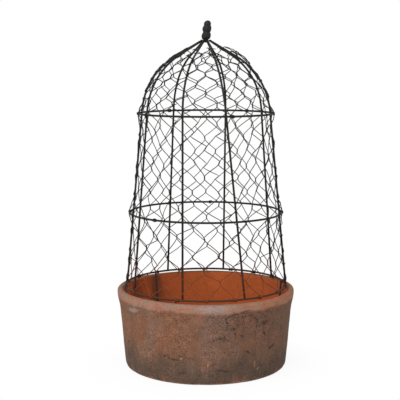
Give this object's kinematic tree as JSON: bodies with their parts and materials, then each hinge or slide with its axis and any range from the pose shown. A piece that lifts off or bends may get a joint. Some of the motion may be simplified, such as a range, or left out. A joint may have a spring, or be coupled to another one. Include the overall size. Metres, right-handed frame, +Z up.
{
  "type": "pot with wire dome",
  "caption": "Low round terracotta pot with a loose black wire dome: hoops, ribs and hexagonal netting under a lobed finial, standing in the pot on wire legs.",
  "frame": {"origin": "middle of the pot's flat underside, on the surface that it stands on", "axes": "+Z up along the axis of the pot and the dome, -Y towards the viewer of the picture, +X to the right"},
  "size_m": [0.2116, 0.2116, 0.4102],
  "materials": {
    "terracotta": "matte",
    "frame_wire": "satin",
    "finial_metal": "satin",
    "net_wire": "satin"
  },
  "bodies": {
    "pot": {"pot": "terracotta"},
    "dome": {"bottom_hoop": "frame_wire", "middle_hoop": "frame_wire", "upper_hoop": "frame_wire", "rib_1": "frame_wire", "rib_2": "frame_wire", "rib_3": "frame_wire", "rib_4": "frame_wire", "rib_5": "frame_wire", "rib_6": "frame_wire", "rib_7": "frame_wire", "rib_8": "frame_wire", "leg_1": "frame_wire", "leg_2": "frame_wire", "leg_3": "frame_wire", "finial": "finial_metal", "side_netting": "net_wire", "dome_netting": "net_wire"}
  },
  "joints": [
    {"name": "dome_lift", "type": "slide", "parent": "pot", "child": "dome", "axis": [0, 0, 1], "range_m": [0, 0.11]}
  ]
}
